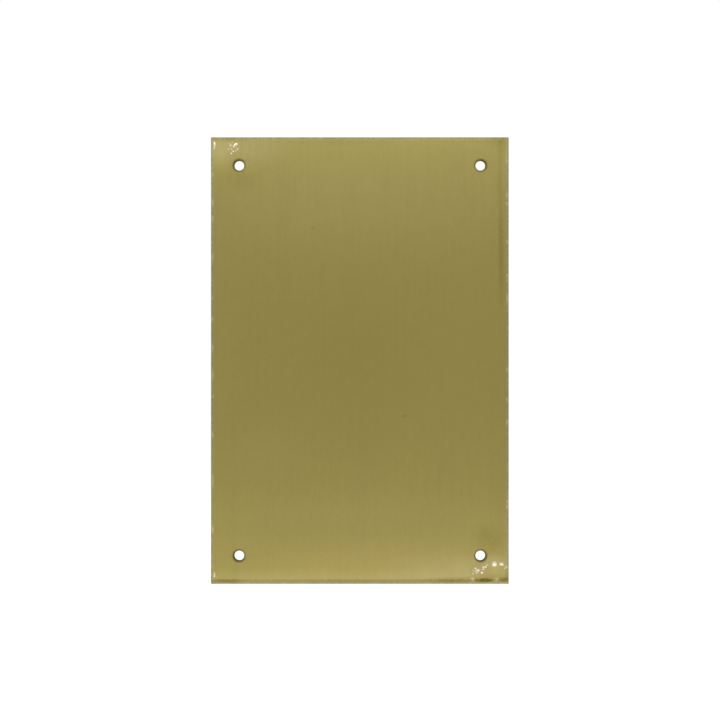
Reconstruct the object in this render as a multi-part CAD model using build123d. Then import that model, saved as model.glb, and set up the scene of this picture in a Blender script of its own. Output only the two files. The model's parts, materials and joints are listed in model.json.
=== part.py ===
from build123d import *
import math
import os

# A blank brass plate for a door: one sheared sheet with four punched screw holes.
# In the finished part X runs across the plate, Z runs up it and the door is on +Y.
# The back face lies on y = 0 and the brushed front faces -Y.
# The functions draw the plate lying on its back, front up, and it is stood up at the end.

# The sheet
plate_width = 100.0
plate_height = 150.0
sheet_thickness = 1.5

# The sheared outline. The blade first draws the front edge down into a roll, then shears
# a straight land, and the last of the metal tears away at a slant.
edge_roll_width = 0.32
edge_roll_depth = 0.22
edge_tear_depth = 0.55
edge_tear_angle = 5.0

# The screw holes, punched from the front near each corner
hole_diameter = 3.3
hole_inset_x = 9.5
hole_inset_z = 9.5
rim_roll_width = 0.45
rim_roll_depth = 0.28
hole_tear_depth = 0.45
hole_tear_angle = 6.0


# The waste beside a cut wall, which is what all the cuts take away. The wall is the line
# x = 0, the sheet's metal is on its right and its back face is on y = 0. The waste stands
# out past both faces by one sheet thickness.
def waste_section(waste_width, roll_width, roll_depth, tear_depth, tear_angle):
    above = 2 * sheet_thickness
    below = -sheet_thickness
    tear_foot = (tear_depth - below) * math.tan(math.radians(tear_angle))
    roll_centre = (roll_width, sheet_thickness - roll_depth)
    roll = EllipticalCenterArc(roll_centre, roll_width, roll_depth, start_angle=90, arc_size=90)
    land_and_tear = Polyline(roll @ 1, (0, tear_depth), (tear_foot, below), (-waste_width, below))
    outside = Polyline((-waste_width, below), (-waste_width, above), (roll_width, above), roll @ 0)
    return make_face([roll, land_and_tear, outside])


# One stroke of the guillotine, along a side of this length and past both its corners
def shear_stroke(side_length):
    stroke = side_length + 2 * sheet_thickness
    section = waste_section(
        sheet_thickness,
        edge_roll_width,
        edge_roll_depth,
        edge_tear_depth,
        edge_tear_angle,
    )
    return extrude(Plane.XZ.offset(-stroke / 2) * section, stroke)


# The blank, trimmed on its four sides one after another
def sheared_blank():
    trim = sheet_thickness
    blank = extrude(Rectangle(plate_width + trim, plate_height + trim), sheet_thickness)
    for turn in (0, 180):
        blank -= Rot(Z=turn) * Pos(X=-plate_width / 2) * shear_stroke(plate_height)
    for turn in (90, 270):
        blank -= Rot(Z=turn) * Pos(X=-plate_height / 2) * shear_stroke(plate_width)
    return blank


# One stroke of the punch, on the Z axis: the same kind of section, turned about the axis
def punch_stroke():
    radius = hole_diameter / 2
    section = waste_section(
        radius,
        rim_roll_width,
        rim_roll_depth,
        hole_tear_depth,
        hole_tear_angle,
    )
    return revolve(Plane.XZ * Pos(X=radius) * section, Axis.Z)


# The screw holes, set in from the sides
def screw_holes():
    spacing_x = plate_width - 2 * hole_inset_x
    spacing_z = plate_height - 2 * hole_inset_z
    corners = GridLocations(spacing_x, spacing_z, 2, 2)
    return [corner * punch_stroke() for corner in corners]


# The finished plate, stood up with its front facing -Y
def door_plate():
    flat_plate = sheared_blank() - screw_holes()
    return Plane.XZ * flat_plate


os.makedirs("parts", exist_ok=True)
plate = door_plate()
export_step(plate, "parts/door_plate.step")
print(f"door_plate: {plate.volume:.1f} mm3 in {len(plate.solids())} solid, {len(plate.faces())} faces")
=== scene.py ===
import json
import math

import bmesh
import bpy
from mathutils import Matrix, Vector, noise


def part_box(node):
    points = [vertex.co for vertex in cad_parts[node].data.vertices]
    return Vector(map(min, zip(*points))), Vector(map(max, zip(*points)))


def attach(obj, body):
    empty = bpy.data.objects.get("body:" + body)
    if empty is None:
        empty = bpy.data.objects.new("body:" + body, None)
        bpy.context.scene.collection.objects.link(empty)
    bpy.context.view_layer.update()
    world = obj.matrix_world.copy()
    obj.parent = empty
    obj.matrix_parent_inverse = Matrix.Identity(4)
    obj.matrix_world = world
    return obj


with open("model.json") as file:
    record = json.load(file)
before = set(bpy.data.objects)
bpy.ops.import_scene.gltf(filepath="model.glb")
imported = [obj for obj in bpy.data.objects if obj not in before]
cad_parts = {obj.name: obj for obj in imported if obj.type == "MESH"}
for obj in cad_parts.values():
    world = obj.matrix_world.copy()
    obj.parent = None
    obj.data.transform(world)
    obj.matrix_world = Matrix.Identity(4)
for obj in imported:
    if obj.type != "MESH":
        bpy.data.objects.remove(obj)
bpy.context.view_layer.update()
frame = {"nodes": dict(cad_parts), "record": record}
print("the packed plate is in")

mm = 0.001  # the scene is in metres, and the sizes here are in millimetres

low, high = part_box("door_plate")
plate = {
    "width": (high.x - low.x) / mm,
    "height": (high.z - low.z) / mm,
    "front": low.y / mm,  # the brushed face looks along -Y
    "back": high.y / mm,  # lies against the door
}
mounts = {mount["name"]: mount for mount in frame["record"]["mounts"]}
screws = mounts["screw_holes"]["dims"]  # how far apart the holes are, and their radius


# a web colour such as "#8d8246" as the linear numbers that Blender works in
def linearColour(hexCode):
    channels = [int(hexCode[i:i + 2], 16) / 255 for i in (1, 3, 5)]
    return [c / 12.92 if c <= 0.04045 else ((c + 0.055) / 1.055) ** 2.4 for c in channels] + [1.0]


# adds a node. Its settings may be just the name of its operation. An input takes a plain value,
# a socket, or a node, whose main result it then uses, and a list fills the inputs in order.
def addNode(tree, kind, settings=None, inputs=None):
    node = tree.nodes.new("ShaderNode" + kind)
    if isinstance(settings, str):
        settings = {"operation": settings}
    if isinstance(inputs, list):
        inputs = dict(enumerate(inputs))
    for name, value in (settings or {}).items():
        setattr(node, name, value)
    for name, value in (inputs or {}).items():
        if isinstance(value, bpy.types.Node):
            value = next(output for output in value.outputs if output.enabled)
        if isinstance(value, bpy.types.NodeSocket):
            tree.links.new(value, node.inputs[name])
        else:
            node.inputs[name].default_value = value
    return node


def newMaterial(name):
    material = bpy.data.materials.new(name)
    material.use_nodes = True
    material.node_tree.nodes.clear()
    return material, material.node_tree


softly = {"interpolation_type": "SMOOTHSTEP"}  # eases in and out of a range
usualSpan = (0.3, 0.7)  # nearly all of a noise's values lie between these


# the inputs of a range: while a value goes from start to stop, the result goes between its ends
def between(value, start, stop, atStart=0.0, atStop=1.0):
    return {"Value": value, "From Min": start, "From Max": stop, "To Min": atStart, "To Max": atStop}


# noise with its own size in millimetres along X, Y and Z
def stretchedNoise(tree, place, size, detail, roughness=0.5):
    stretched = addNode(tree, "VectorMath", "MULTIPLY", [place, [1 / s for s in size]])
    return addNode(tree, "TexNoise", None, {
        "Vector": stretched, "Scale": 1.0, "Detail": detail, "Roughness": roughness,
    })


# a colour that goes darker and lighter with a pattern, between two shades of itself
def mottled(tree, colour, pattern, shades, span=usualSpan):
    shade = addNode(tree, "MapRange", None, between(pattern, *span, *shades))
    return addNode(tree, "VectorMath", "SCALE", {0: colour, "Scale": shade})


# Soft marks in the brass and its lacquer. For each, at is the x and z of its middle in
# millimetres from the plate's middle, and size is how far it reaches from there along x and z.
# Turn is in degrees, none unless given. Soft is the share of its reach over which it fades out,
# all of it unless given. Amount is how strong its middle is.
markColours = {
    "pink": "#b8755a",  # brass whose zinc has begun to go
    "bright": "#d6c034",  # painted highlight on the brass
    "haze": "#e4d4bc",  # milky lacquer, and painted highlights and glints
}

# The foot of the plate has gone faintly pink, as brass does where its lacquer has worn thin
pinkMarks = [
    {"at": (0, -66), "size": (78, 11), "amount": 0.035},
    {"at": (25, -66), "size": (30, 8), "amount": 0.015},
]

# A painted highlight: the top left corner is a little brighter, round its blisters
brightMarks = [
    {"at": (-49, 70), "size": (10, 9), "amount": 0.065},
]

# Milky lacquer, and painted highlights
hazeAndHighlightMarks = [
    # a painted highlight band along the foot
    {"at": (0, -77), "size": (130, 8.5), "amount": 0.08},
    {"at": (28, -71), "size": (28, 8), "amount": 0.05},
    # round the blisters
    {"at": (45.3, -68.2), "size": (6.5, 4.8), "amount": 0.1},
    {"at": (-49, 70.5), "size": (10, 8), "amount": 0.05},
    {"at": (-40, 70.8), "size": (22, 8), "amount": 0.055},
    {"at": (-42.7, 72.0), "size": (2.6, 2.9), "turn": 25, "amount": 0.06, "soft": 0.9},
    {"at": (40.3, -70.4), "size": (3.4, 2.0), "amount": 0.11, "soft": 0.9},
    {"at": (37.6, -73.9), "size": (1.4, 1.6), "amount": 0.14, "soft": 0.9},
    {"at": (45.8, -73.8), "size": (0.9, 1.3), "amount": 0.09, "soft": 0.9},
    # thin painted highlights along the edges at the top right corner
    {"at": (49.5, 68), "size": (0.8, 9), "amount": 0.08},
    {"at": (33, 74.6), "size": (28, 0.8), "amount": 0.06},
    # broad, very faint painted light
    {"at": (-50, 2), "size": (16, 70), "amount": 0.015},
    {"at": (0, 50), "size": (75, 20), "amount": 0.022},
    {"at": (-33, -30), "size": (18, 14), "amount": 0.015},
    {"at": (0, -56), "size": (85, 17), "amount": 0.01},
    {"at": (35, -68.5), "size": (8, 6), "amount": 0.025},
]

# Painted shade and shadow, and a little dirt: the amount is the share of light lost
shadeAndDirtMarks = [
    # a line of painted shadow along the bottom, darkest near the right corner
    {"at": (0, -74.05), "size": (90, 1.0), "amount": 0.26},
    {"at": (-45, -74.0), "size": (9, 1.1), "amount": 0.25},
    {"at": (34, -73.7), "size": (20, 1.45), "amount": 0.22},
    {"at": (42.0, -73.75), "size": (4.1, 1.15), "amount": 0.33, "soft": 0.8},
    {"at": (48.4, -73.5), "size": (2.5, 1.2), "amount": 0.32, "soft": 0.9},
    {"at": (49.4, -72.6), "size": (1.0, 2.8), "amount": 0.18},
    {"at": (43.5, -72.6), "size": (8, 1.7), "amount": 0.1},
    # painted shade in a band down the right side, and at the top right corner
    {"at": (47.35, 46), "size": (1.5, 20), "turn": 0.3, "amount": 0.12},
    {"at": (47.5, 30), "size": (1.5, 19), "turn": 0.3, "amount": 0.12},
    {"at": (46.9, 61), "size": (1.3, 9), "amount": 0.07},
    {"at": (47.3, 71), "size": (2.2, 9), "amount": 0.09},
    {"at": (47, 74.5), "size": (8, 5), "amount": 0.1},
    # painted shade in strips just under the top edge
    {"at": (-44, 74.2), "size": (9, 1.1), "amount": 0.12},
    {"at": (-8, 73.2), "size": (26, 1.8), "amount": 0.045},
    # broad, faint painted shade: the middle, and across the foot
    {"at": (-1, -3), "size": (30, 45), "amount": 0.025},
    {"at": (0, -58), "size": (60, 8), "amount": 0.035},
    {"at": (-30, -62), "size": (38, 13), "amount": 0.025},
    {"at": (-41, -68.5), "size": (17, 8), "amount": 0.035},
    # painted shade under the top left hole and over the bottom right hole
    {"at": (-40, 60.5), "size": (10, 5), "amount": 0.05},
    {"at": (43.6, -59.8), "size": (9, 7), "turn": -15, "amount": 0.1},
    # painted shade between the blisters at the bottom right
    {"at": (40.6, -70.1), "size": (4.2, 2.3), "turn": 10, "amount": 0.14, "soft": 0.8},
    # two specks
    {"at": (-15.6, 44.5), "size": (1.3, 0.7), "turn": -50, "amount": 0.12},
    {"at": (15.2, -18.6), "size": (1.3, 0.6), "turn": 30, "amount": 0.12},
]

# Painted glints along the two long sides, as pale ticks. Each is how far up its middle lies from the
# plate's middle, and how far it reaches up and down from there.
edgeGlints = {
    "inset": 0.53,  # from the side to the middle of a glint
    "reach": 0.55,  # sideways
    "amount": 0.22,
    "left": [
        (62.5, 1.3), (53, 2), (47.7, 2), (34.8, 2.4), (21, 1), (14, 1.2),
        (4.5, 2.4), (-5, 3.4), (-12, 1), (-25, 1.7), (-40.3, 3.4), (-56.5, 2.4),
    ],
    "right": [
        (67, 1), (55.6, 1.7), (52.8, 1), (39.8, 1), (28.6, 1), (27, 1),
        (20.7, 3), (-3.2, 1), (-13.1, 1), (-20.7, 1.7), (-47.2, 1), (-49, 1),
    ],
}

edgeGlintMarks = [
    {
        "at": (side * (plate["width"] / 2 - edgeGlints["inset"]), up),
        "size": (edgeGlints["reach"], upReach),
        "amount": edgeGlints["amount"],
    }
    for side, places in ((-1, edgeGlints["left"]), (1, edgeGlints["right"])) for up, upReach in places
]

# The outlines of all these marks wander a little, in waves of about a millimetre
outline = {
    "wavesPerMm": 0.9,
    "swing": (0.6, 0.0, 0.35),  # from one side to the other, along x, y and z
    "depth": 1000.0,  # a mark is as deep as this, so that only its x and z count
}


# adds up soft elliptical marks
def softMarks(tree, place, marks):
    waves = addNode(tree, "TexNoise", None, {
        "Vector": place, "Scale": outline["wavesPerMm"], "Detail": 3.0,
    })
    middle = (0.5, 0.5, 0.5)  # of the noise
    swing = addNode(tree, "VectorMath", "SUBTRACT", [waves.outputs["Color"], middle])
    wandering = addNode(tree, "VectorMath", "MULTIPLY_ADD", [swing, outline["swing"], place])
    total = 0.0
    for mark in marks:
        spot = addNode(tree, "Mapping", {"vector_type": "TEXTURE"}, {
            "Vector": wandering,
            "Location": (mark["at"][0], 0.0, mark["at"][1]),
            "Rotation": (0.0, math.radians(-mark.get("turn", 0.0)), 0.0),
            "Scale": (mark["size"][0], outline["depth"], mark["size"][1]),
        })
        away = addNode(tree, "VectorMath", "LENGTH", [spot]).outputs["Value"]
        fadesFrom = 1 - mark.get("soft", 1.0)
        strength = addNode(tree, "MapRange", softly, between(away, fadesFrom, 1.0, mark["amount"], 0.0))
        total = addNode(tree, "Math", "ADD", [total, strength])
    return total


# lays soft marks of one colour over another
def tinted(tree, place, colour, marks, tint):
    return addNode(tree, "MixRGB", None, [softMarks(tree, place, marks), colour, linearColour(tint)])


# distance from the nearest side of the plate
def distanceFromSides(tree, axes):
    distances = []
    for axis, length in (("X", plate["width"]), ("Z", plate["height"])):
        fromMiddle = addNode(tree, "Math", "ABSOLUTE", [axes.outputs[axis]])
        distances.append(addNode(tree, "Math", "SUBTRACT", [length / 2, fromMiddle]))
    return addNode(tree, "Math", "MINIMUM", distances)


# The brushed front. The brushing runs up the plate: fine strokes, wide faint streaks and slow
# blotches make one pattern, and short flecks lie where strokes start and stop.
brushing = {
    "colour": "#82751c",
    "strokeSize": (0.3, 0.3, 16.0),  # grit lines are about 0.1 wide, but that is too fine to show
    "streakSize": (1.6, 1.6, 90.0),
    "blotchSize": (22.0, 22.0, 34.0),
    "shares": (0.15, 0.25, 0.6),  # of blotches, streaks and strokes in the pattern
    "span": (0.35, 0.65),  # nearly all of the pattern lies between these
    "shades": (0.955, 1.045),
    "fleckSize": (1.0, 1.0, 1.5),
    "fleckShades": (0.978, 1.022),
    "depth": 0.002,  # of the strokes, and of the lines on the cut walls
    "roughness": 0.34,
    "unevenGloss": 0.35,  # how far the brushing is rougher or smoother in places
    "anisotropic": 0.9,
}


# the brushed colour, the pattern that it varies with, and the strokes alone
def brushedFront(tree, place):
    strokes = stretchedNoise(tree, place, brushing["strokeSize"], detail=3.0, roughness=0.6)
    streaks = stretchedNoise(tree, place, brushing["streakSize"], detail=2.0)
    blotches = stretchedNoise(tree, place, brushing["blotchSize"], detail=3.0)
    pattern = 0.0
    for layer, share in zip((blotches, streaks, strokes), brushing["shares"]):
        pattern = addNode(tree, "Math", "MULTIPLY_ADD", [layer, share, pattern])
    flecks = stretchedNoise(tree, place, brushing["fleckSize"], detail=2.0)
    colour = linearColour(brushing["colour"])[:3]
    colour = mottled(tree, colour, pattern, brushing["shades"], brushing["span"])
    colour = mottled(tree, colour, flecks, brushing["fleckShades"], brushing["span"])
    return colour, pattern, strokes


# A darker broken line of painted shade runs along the four sides, over the rolled edge, where the lacquer
# also thins out towards the cut
edgeShadeLine = {
    "colour": "#857f5f",
    "startsAt": 1.05,  # mm from the cut
    "fullAt": 0.1,
    "amount": 0.9,
    "brokenSize": (0.9, 0.9, 0.9),  # how finely the line, and the painted shade and dirt, are broken up
    "shades": (0.72, 1.28),
    "dirtShades": (0.75, 1.25),  # how unevenly the dark marks lie
}


# the front's colour with all its tints, painted highlights, marks and edges, and how dark its painted
# shade and dirt are
def wornAndShadedFront(tree, place, colour, fromSides):
    colour = tinted(tree, place, colour, pinkMarks, markColours["pink"])
    colour = tinted(tree, place, colour, brightMarks, markColours["bright"])
    colour = tinted(tree, place, colour, hazeAndHighlightMarks, markColours["haze"])
    broken = stretchedNoise(tree, place, edgeShadeLine["brokenSize"], detail=3.0)
    edgeShading = addNode(tree, "MapRange", softly, between(
        fromSides, edgeShadeLine["startsAt"], edgeShadeLine["fullAt"], 0.0, edgeShadeLine["amount"]))
    edgeShadeColour = mottled(tree, linearColour(edgeShadeLine["colour"])[:3], broken, edgeShadeLine["shades"])
    colour = addNode(tree, "MixRGB", None, [edgeShading, colour, edgeShadeColour])
    colour = tinted(tree, place, colour, edgeGlintMarks, markColours["haze"])
    uneven = addNode(tree, "MapRange", None, between(broken, *usualSpan, *edgeShadeLine["dirtShades"]))
    shadeAndDirt = addNode(tree, "Math", "MULTIPLY", [softMarks(tree, place, shadeAndDirtMarks), uneven])
    light = addNode(tree, "Math", "SUBTRACT", [1.0, shadeAndDirt])
    return addNode(tree, "VectorMath", "SCALE", {0: colour, "Scale": light}), shadeAndDirt


# The cut walls: a straight sheared land under the front edge, and a rougher tear behind it
cutWalls = {
    "landColour": "#857c4f",
    "tearColour": "#6b6238",
    "tearStarts": 0.75,  # mm from the back, where the land begins to give way to the tear
    "tearFull": 0.45,
    "lineSize": (0.35, 3.0, 0.35),  # lines that the blade drew through the sheet
    "shades": (0.8, 1.15),
    "rougher": 0.16,  # than the brushed front
}


# the colour of the cut walls, and the lines on them
def shearedWalls(tree, place, axes):
    lines = stretchedNoise(tree, place, cutWalls["lineSize"], detail=3.0, roughness=0.6)
    starts = plate["back"] - cutWalls["tearStarts"]
    full = plate["back"] - cutWalls["tearFull"]
    tear = addNode(tree, "MapRange", softly, between(axes.outputs["Y"], starts, full))
    colours = [linearColour(cutWalls["landColour"]), linearColour(cutWalls["tearColour"])]
    colour = addNode(tree, "MixRGB", None, [tear, *colours])
    return mottled(tree, colour, lines, cutWalls["shades"]), lines


# The bare back: mill finish, duller than the front, that has begun to brown in soft patches
millFinish = {
    "colour": "#998c54",
    "tarnishColour": "#80693a",
    "tarnish": 0.2,  # how far the patches go towards that colour
    "patchSize": (14.0, 14.0, 20.0),
    "patchSpan": (0.35, 0.7),  # where the patches' noise begins to brown, and is brownest
    "rollLineSize": (0.9, 0.9, 60.0),  # faint lines from the mill's rolls, along the sheet
    "rollLineShades": (0.95, 1.05),
}


def milledBack(tree, place):
    patches = stretchedNoise(tree, place, millFinish["patchSize"], detail=4.0, roughness=0.6)
    lines = stretchedNoise(tree, place, millFinish["rollLineSize"], detail=3.0, roughness=0.6)
    tarnish = addNode(tree, "MapRange", softly, between(
        patches, *millFinish["patchSpan"], 0.0, millFinish["tarnish"]))
    colours = [linearColour(millFinish["colour"]), linearColour(millFinish["tarnishColour"])]
    colour = addNode(tree, "MixRGB", None, [tarnish, *colours])
    return mottled(tree, colour, lines, millFinish["rollLineShades"])


# Painted shade on the hole walls and front rims, where no lacquer is left
holeShade = {
    "light": 0.5,  # share of the light that the hole walls keep
    "metal": 0.3,  # and of the metal's shine
    "shine": 0.15,  # the shaded rims are nearly matt
    "reach": 1.0,  # how far it goes out from a hole
    "shift": 0.12,  # it lies this much more on the side towards the plate's corner
    "rougher": 0.3,  # than the brushed front
}


# 0 in the holes and 1 where no hole shade is painted
def clearOfHoleShade(tree, axes):
    away = {}
    for axis, spacing in (("X", screws["spacing_x_mm"]), ("Z", screws["spacing_y_mm"])):
        fromMiddle = addNode(tree, "Math", "ABSOLUTE", [axes.outputs[axis]])
        away[axis] = addNode(tree, "Math", "SUBTRACT", [fromMiddle, spacing / 2 + holeShade["shift"]])
    flat = addNode(tree, "CombineXYZ", None, away)
    fromHoles = addNode(tree, "VectorMath", "LENGTH", [flat]).outputs["Value"]
    radius = screws["hole_r_mm"]
    return addNode(tree, "MapRange", softly, between(fromHoles, radius, radius + holeShade["reach"]))


# Clear lacquer over the front
lacquer = {
    "weight": 1.0,
    "roughness": 0.28,
    "fullAt": 0.6,  # mm from the sides, where it is at full strength
    "shineLoss": 2.0,  # a dark mark takes this much more of its shine than of the light
}

# A surface is part of the front or the back by how squarely it looks that way, which is 0 on the
# cut walls and 1 on the flat faces
squareness = {"begins": 0.55, "full": 0.95}


# what a brass shader takes, at any point of the plate; the blisters use it too, so that their
# rims run into the metal round them
def brassLook(tree):
    coordinates = addNode(tree, "TexCoord")
    place = addNode(tree, "VectorMath", "SCALE", {0: coordinates.outputs["Object"], "Scale": 1 / mm})
    axes = addNode(tree, "SeparateXYZ", None, [place])
    facing = addNode(tree, "SeparateXYZ", None, [coordinates.outputs["Normal"]]).outputs["Y"]
    begins, full = squareness["begins"], squareness["full"]
    front = addNode(tree, "MapRange", softly, between(facing, -begins, -full))
    back = addNode(tree, "MapRange", softly, between(facing, begins, full))
    fromSides = distanceFromSides(tree, axes)

    # the colours of the front, the cut walls and the back, with painted shade round the holes on them
    colour, pattern, strokes = brushedFront(tree, place)
    colour, shadeAndDirt = wornAndShadedFront(tree, place, colour, fromSides)
    wallColour, wallLines = shearedWalls(tree, place, axes)
    faces = addNode(tree, "Math", "MAXIMUM", [front, back])
    colour = addNode(tree, "MixRGB", None, [faces, wallColour, colour])
    colour = addNode(tree, "MixRGB", None, [back, colour, milledBack(tree, place)])
    unshaded = addNode(tree, "Math", "MAXIMUM", [clearOfHoleShade(tree, axes), back])
    light = addNode(tree, "MapRange", None, between(unshaded, 0.0, 1.0, holeShade["light"], 1.0))
    colour = addNode(tree, "VectorMath", "SCALE", {0: colour, "Scale": light})

    # rougher and smoother with the brushing, and rougher off the front and in the painted hole shade
    middle = sum(brushing["span"]) / 2
    uneven = addNode(tree, "Math", "SUBTRACT", [pattern, middle])
    roughness = addNode(tree, "Math", "MULTIPLY_ADD", [
        uneven, brushing["unevenGloss"], brushing["roughness"],
    ])
    for smooth, rougher in ((front, cutWalls["rougher"]), (unshaded, holeShade["rougher"])):
        rough = addNode(tree, "Math", "SUBTRACT", [1.0, smooth])
        roughness = addNode(tree, "Math", "MULTIPLY_ADD", [rough, rougher, roughness])

    height = addNode(tree, "MixRGB", None, [front, wallLines, strokes])
    relief = addNode(tree, "Bump", None, {
        "Strength": 1.0, "Distance": brushing["depth"] * mm, "Height": height,
    })

    # the lacquer lies on the front alone, and is lost at the sides, in the painted hole shade and under
    # the dark marks
    covered = addNode(tree, "MapRange", softly, between(
        fromSides, 0.0, lacquer["fullAt"], 0.0, lacquer["weight"]))
    shiny = addNode(tree, "Math", "MULTIPLY_ADD", [shadeAndDirt, -lacquer["shineLoss"], 1.0])
    shiny = addNode(tree, "Math", "MAXIMUM", [shiny, 0.0])
    coat = front
    for share in (unshaded, covered, shiny):
        coat = addNode(tree, "Math", "MULTIPLY", [coat, share])

    return {
        "Base Color": colour,
        "Metallic": addNode(tree, "MapRange", None, between(unshaded, 0.0, 1.0, holeShade["metal"], 1.0)),
        "Roughness": roughness,
        "Anisotropic": brushing["anisotropic"],
        "Normal": relief,
        "Coat Weight": coat,
        "Coat Roughness": lacquer["roughness"],
    }


# Satin brushed brass under clear lacquer: highlights smear sideways, across the brushing
def makeBrass():
    material, tree = newMaterial("satinBrushedBrass")
    shader = addNode(tree, "BsdfPrincipled", None, {
        **brassLook(tree),
        "Specular IOR Level": holeShade["shine"],
        "Tangent": addNode(tree, "Tangent", {"direction_type": "RADIAL", "axis": "Z"}),
    })
    addNode(tree, "OutputMaterial", None, {"Surface": shader})
    return material


brassMaterial = makeBrass()
for slot in frame["nodes"]["door_plate"].material_slots:
    slot.material = brassMaterial
print("the brass is brushed")


# Blisters and creases where the lacquer has let go of the brass at the corners. Each is a low
# soft dome: at, size and turn are as for the marks above, and the last value is how strongly a highlight
# is painted on its top, which also makes it stand higher.
skin = {
    # colour is that of the highlight painted on the blisters' tops
    "colour": "#dccfb8",
    "pitch": 0.12,  # spacing of the mesh points
    "height": 0.035,  # of a blister with a full painted highlight, from its rim
    "clearHeight": 0.4,  # how high a blister with no painted highlight stands, as a share of a full one
    "sunk": 0.01,  # the rim lies this far inside the front face, and the underside twice as far
    "ragged": 0.16,  # how uneven the domes and their outlines are
    "raggedPerMm": 1.7,
    "roughness": 0.3,
    "chalky": 0.5,  # how much of the metal's shine the painted highlights take away
    "clearOfEdge": 0.35,  # stays off the rolled edge
}

blisters = {
    "topLeft": [
        {"at": (-48.8, 72.65), "size": (0.62, 1.6), "turn": -3, "white": 0.9},
        {"at": (-48.9, 71.5), "size": (0.5, 1.6), "turn": -3, "white": 0.5},
        {"at": (-41.7, 72.5), "size": (1.35, 0.66), "turn": 20, "white": 0.92},
        {"at": (-42.2, 72.05), "size": (0.65, 1.1), "turn": -30, "white": 0.7},
        {"at": (-43.45, 72.1), "size": (0.8, 1.0), "white": 0.33},
        {"at": (-43.9, 72.85), "size": (0.8, 0.6), "white": 0.16},
        {"at": (-42.8, 73.3), "size": (0.7, 0.5), "white": 0.18},
        {"at": (-44.15, 70.9), "size": (0.6, 0.8), "white": 0.25},
        {"at": (-43.15, 70.9), "size": (0.5, 0.7), "white": 0.28},
        {"at": (-41.1, 70.95), "size": (0.6, 0.9), "turn": -25, "white": 0.46},
        {"at": (-42.55, 70.15), "size": (0.6, 0.55), "turn": 30, "white": 0.45},
        {"at": (-43.2, 69.45), "size": (0.6, 0.55), "turn": 20, "white": 0.45},
        {"at": (-41.75, 70.3), "size": (0.5, 0.55), "white": 0.2},
        {"at": (-41.4, 74.0), "size": (1.3, 0.6), "white": 0.1},
    ],
    "bottomRight": [
        {"at": (45.25, -68.25), "size": (1.4, 1.4), "turn": -25, "white": 1.0},
        {"at": (47.6, -68.2), "size": (1.5, 0.85), "turn": -20, "white": 0.74},
        {"at": (49.2, -69.15), "size": (0.45, 0.95), "turn": -8, "white": 0.4},
        {"at": (48.7, -69.75), "size": (0.7, 0.45), "turn": 35, "white": 0.35},
        {"at": (41.45, -69.2), "size": (0.6, 0.7), "white": 0.62},
        {"at": (42.2, -69.15), "size": (0.7, 0.75), "white": 0.72},
        {"at": (42.8, -68.55), "size": (0.5, 0.65), "white": 0.36},
        {"at": (38.8, -69.7), "size": (0.8, 0.65), "turn": -20, "white": 0.54},
        {"at": (39.7, -70.35), "size": (1.0, 0.7), "turn": 20, "white": 0.7},
        {"at": (39.85, -70.9), "size": (0.6, 0.5), "white": 0.3},
        {"at": (41.0, -71.1), "size": (0.7, 0.65), "white": 0.8},
        {"at": (38.05, -70.45), "size": (0.6, 0.5), "white": 0.36},
        {"at": (38.8, -70.7), "size": (0.6, 0.5), "white": 0.3},
        {"at": (39.3, -71.2), "size": (0.75, 0.6), "white": 0.46},
        {"at": (38.0, -71.4), "size": (0.6, 0.6), "white": 0.38},
        {"at": (41.5, -70.0), "size": (1.2, 0.55), "white": 0.36},
        {"at": (37.9, -73.15), "size": (1.3, 0.6), "white": 0.26},
        {"at": (46.1, -73.2), "size": (0.5, 0.55), "white": 0.26},
        {"at": (36.1, -70.3), "size": (0.8, 0.7), "white": 0.1},
        {"at": (34.05, -68.7), "size": (0.8, 0.5), "white": 0.1},
    ],
    "bottomLeft": [
        {"at": (-48.85, -71.85), "size": (0.42, 1.9), "white": 0.7},
    ],
}


# Lifted lacquer: a whitish highlight painted on top, less metallic there, and like the brass at the rim
def makeSkinMaterial():
    material, tree = newMaterial("liftedLacquer")
    look = brassLook(tree)
    white = addNode(tree, "Attribute", {"attribute_name": "white"}).outputs["Fac"]
    shader = addNode(tree, "BsdfPrincipled", None, {
        **look,
        "Base Color": addNode(tree, "MixRGB", None, [
            white, look["Base Color"], linearColour(skin["colour"]),
        ]),
        "Metallic": addNode(tree, "Math", "MULTIPLY_ADD", [white, -skin["chalky"], 1.0]),
        "Roughness": addNode(tree, "Math", "MAXIMUM", [look["Roughness"], skin["roughness"]]),
        "Tangent": addNode(tree, "CombineXYZ", None, {"X": 1.0}),  # smears sideways here too
    })
    addNode(tree, "OutputMaterial", None, {"Surface": shader})
    return material


# how high the skin is at one point of the plate, and how much highlight is painted on it there
def skinAt(x, z, marks):
    rise, clear = 0.0, 1.0
    ragged = skin["ragged"] * noise.noise((x * skin["raggedPerMm"], 0.0, z * skin["raggedPerMm"]))
    for mark in marks:
        turn = math.radians(mark.get("turn", 0))
        dx, dz = x - mark["at"][0], z - mark["at"][1]
        along = (dx * math.cos(turn) + dz * math.sin(turn)) / mark["size"][0]
        across = (dz * math.cos(turn) - dx * math.sin(turn)) / mark["size"][1]
        dome = 1 - math.hypot(along, across) + ragged
        if dome > 0:
            dome = min(dome, 1.0)
            dome = dome * dome * (3 - 2 * dome)  # rounds its top and eases its rim
            glintRise = (1 - skin["clearHeight"]) * mark["white"]
            rise = max(rise, dome * (skin["clearHeight"] + glintRise))
            clear *= 1 - mark["white"] * dome
    return rise, 1 - clear


# two squares of the mesh that only touch at a corner would pinch the rim, so a third joins them
def joinCorners(squares):
    while True:
        pinched = {
            (i, j + 1) for i, j in squares for side in (-1, 1)
            if (i + side, j + 1) in squares and not squares & {(i + side, j), (i, j + 1)}
        }
        if not pinched:
            return
        squares |= pinched


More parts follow.
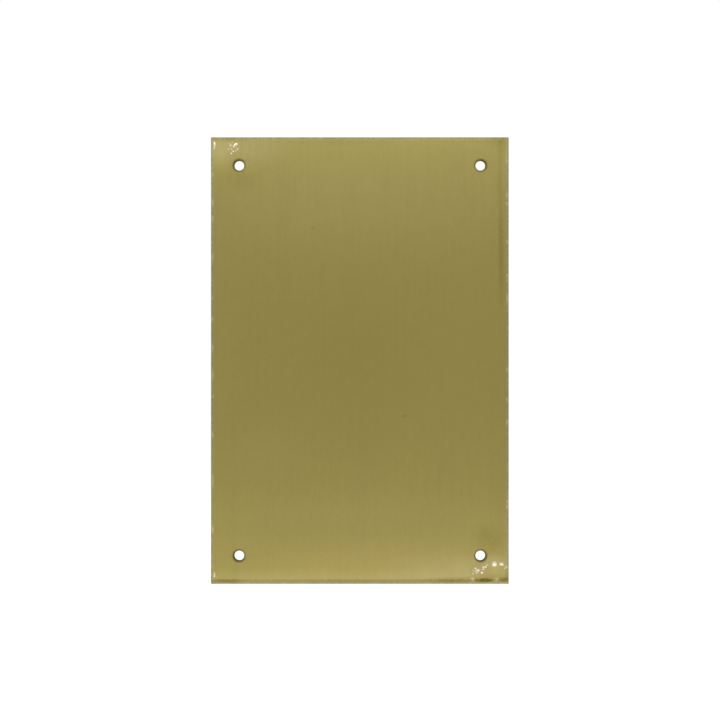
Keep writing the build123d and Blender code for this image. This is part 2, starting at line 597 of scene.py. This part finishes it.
# a fine grid over a corner's blisters: the place of each point, how high the skin is there and how
# much highlight is painted on it, and the squares where it rises
def skinGrid(marks):
    step = skin["pitch"]
    reach = max(max(mark["size"]) for mark in marks) + step
    side = plate["width"] / 2 - skin["clearOfEdge"]
    end = plate["height"] / 2 - skin["clearOfEdge"]
    left = max(min(mark["at"][0] for mark in marks) - reach, -side)
    right = min(max(mark["at"][0] for mark in marks) + reach, side)
    foot = max(min(mark["at"][1] for mark in marks) - reach, -end)
    top = min(max(mark["at"][1] for mark in marks) + reach, end)
    columns, rows = int((right - left) / step), int((top - foot) / step)
    points = {
        (i, j): (left + i * step, foot + j * step)
        for i in range(columns + 1) for j in range(rows + 1)
    }
    lifted = {key: skinAt(x, z, marks) for key, (x, z) in points.items()}
    squares = {
        (i, j) for i in range(columns) for j in range(rows)
        if max(lifted[i + a, j + b][0] for a in (0, 1) for b in (0, 1)) > 0.0
    }
    joinCorners(squares)
    return points, lifted, squares


# one closed skin for a corner: a domed top, a flat underside just inside the brass, and its rim
def skinMesh(name, marks):
    points, lifted, squares = skinGrid(marks)
    rimDepth = plate["front"] + skin["sunk"]
    shape = bmesh.new()
    white = shape.verts.layers.float.new("white")
    tops, unders = {}, {}
    for i, j in sorted(squares):
        around = [(i, j), (i + 1, j), (i + 1, j + 1), (i, j + 1)]
        beyond = [(i, j - 1), (i + 1, j), (i, j + 1), (i - 1, j)]
        for key in around:
            if key not in tops:
                (x, z), (rise, glinting) = points[key], lifted[key]
                tops[key] = shape.verts.new(Vector((x, rimDepth - skin["height"] * rise, z)) * mm)
                unders[key] = shape.verts.new(Vector((x, rimDepth + skin["sunk"], z)) * mm)
                tops[key][white] = unders[key][white] = glinting
        shape.faces.new([tops[key] for key in around]).smooth = True
        shape.faces.new([unders[key] for key in reversed(around)]).smooth = True
        for n, square in enumerate(beyond):
            if square not in squares:
                a, b = around[n], around[(n + 1) % 4]
                shape.faces.new((tops[b], tops[a], unders[a], unders[b]))
    mesh = bpy.data.meshes.new(name)
    shape.to_mesh(mesh)
    shape.free()
    return mesh


def makeBlisters():
    material = makeSkinMaterial()
    for name, marks in blisters.items():
        mesh = skinMesh(name + "Blisters", marks)
        mesh.materials.append(material)
        piece = bpy.data.objects.new(name + "Blisters", mesh)
        bpy.context.scene.collection.objects.link(piece)
        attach(piece, "root")
        print(f"{name} blisters: {len(mesh.polygons)} faces")


makeBlisters()


# A pale matt floor, well below the plate. It shows as white to the camera where nothing shades it.
floor = {
    "colour": "#ece9e4",
    "below": 420.0,  # mm under the plate's middle
    "size": 9000.0,
    "lift": 0.62,  # extra light that the camera and mirrors see on it
}


# 1 where the camera looks, straight on or in a mirror or through glass, and 0 for other light
def seenByCamera(tree):
    path = addNode(tree, "LightPath")
    mirrored, through = path.outputs["Is Glossy Ray"], path.outputs["Is Transmission Ray"]
    bent = addNode(tree, "Math", "MAXIMUM", [mirrored, through])
    return addNode(tree, "Math", "MAXIMUM", [path.outputs["Is Camera Ray"], bent])


def makeFloor():
    material, tree = newMaterial("paleMattFloor")
    matt = addNode(tree, "BsdfDiffuse", None, {"Color": linearColour(floor["colour"])})
    glow = addNode(tree, "Emission", None, {
        "Color": (1, 1, 1, 1),
        "Strength": addNode(tree, "Math", "MULTIPLY", [seenByCamera(tree), floor["lift"]]),
    })
    addNode(tree, "OutputMaterial", None, {"Surface": addNode(tree, "AddShader", None, [matt, glow])})
    mesh = bpy.data.meshes.new("floor")
    half = floor["size"] / 2 * mm
    height = -floor["below"] * mm
    corners = [(-half, -half, height), (half, -half, height), (half, half, height), (-half, half, height)]
    mesh.from_pydata(corners, [], [(0, 1, 2, 3)])
    mesh.materials.append(material)
    ground = bpy.data.objects.new("floor", mesh)
    bpy.context.scene.collection.objects.link(ground)


makeFloor()
print("the floor is down")


# Plain soft light: a pale room, which the camera sees as white, and soft boxes in front of the
# plate, high and low. Each looks at the plate's middle from its own place; power is in watts.
room = {"ambient": 0.55}

softBoxes = {
    "high": {"from": (-40, -1000, 390), "size": (900, 110), "power": 3.4},
    "low": {"from": (40, -1000, -360), "size": (900, 120), "power": 2.3},
}


def makeRoom():
    world = bpy.data.worlds.new("paleRoom")
    bpy.context.scene.world = world
    world.use_nodes = True
    tree = world.node_tree
    tree.nodes.clear()
    strength = addNode(tree, "MapRange", None, between(seenByCamera(tree), 0.0, 1.0, room["ambient"], 1.0))
    shader = addNode(tree, "Background", None, {"Color": (1, 1, 1, 1), "Strength": strength})
    addNode(tree, "OutputWorld", None, {"Surface": shader})


def makeSoftBoxes():
    for name, box in softBoxes.items():
        lamp = bpy.data.lights.new(name + "SoftBox", "AREA")
        lamp.shape = "RECTANGLE"
        lamp.size, lamp.size_y = (side * mm for side in box["size"])
        lamp.energy = box["power"]
        holder = bpy.data.objects.new(name + "SoftBox", lamp)
        holder.location = Vector(box["from"]) * mm
        holder.rotation_euler = (-holder.location).to_track_quat("-Z", "Y").to_euler()
        bpy.context.scene.collection.objects.link(holder)


makeRoom()
makeSoftBoxes()
print("the lights are up")


# The photograph's view: level with the plate's middle and square on to it
view = {
    "distance": 520.0,  # from the lens to the front face
    "frameWidth": 241.85,  # how much of the plate's plane the frame takes in
    "aimRight": 0.05,  # how far right of the plate's middle the lens stands
    "aimUp": 0.2,  # and how far up
    "sensor": 36.0,
    "nearest": 10.0,  # the camera shows nothing nearer than this
    "farthest": 50000.0,  # or farther than this
}


def makeCamera():
    lens = bpy.data.cameras.new("camera")
    lens.sensor_width = view["sensor"]
    lens.lens = view["sensor"] * view["distance"] / view["frameWidth"]
    lens.clip_start = view["nearest"] * mm
    lens.clip_end = view["farthest"] * mm
    camera = bpy.data.objects.new("camera", lens)
    behind = plate["front"] - view["distance"]
    camera.location = (view["aimRight"] * mm, behind * mm, view["aimUp"] * mm)
    camera.rotation_euler = (math.radians(90), 0, 0)
    bpy.context.scene.collection.objects.link(camera)
    bpy.context.scene.camera = camera


makeCamera()
bpy.context.scene.view_settings.view_transform = "Standard"
print("the camera is set")
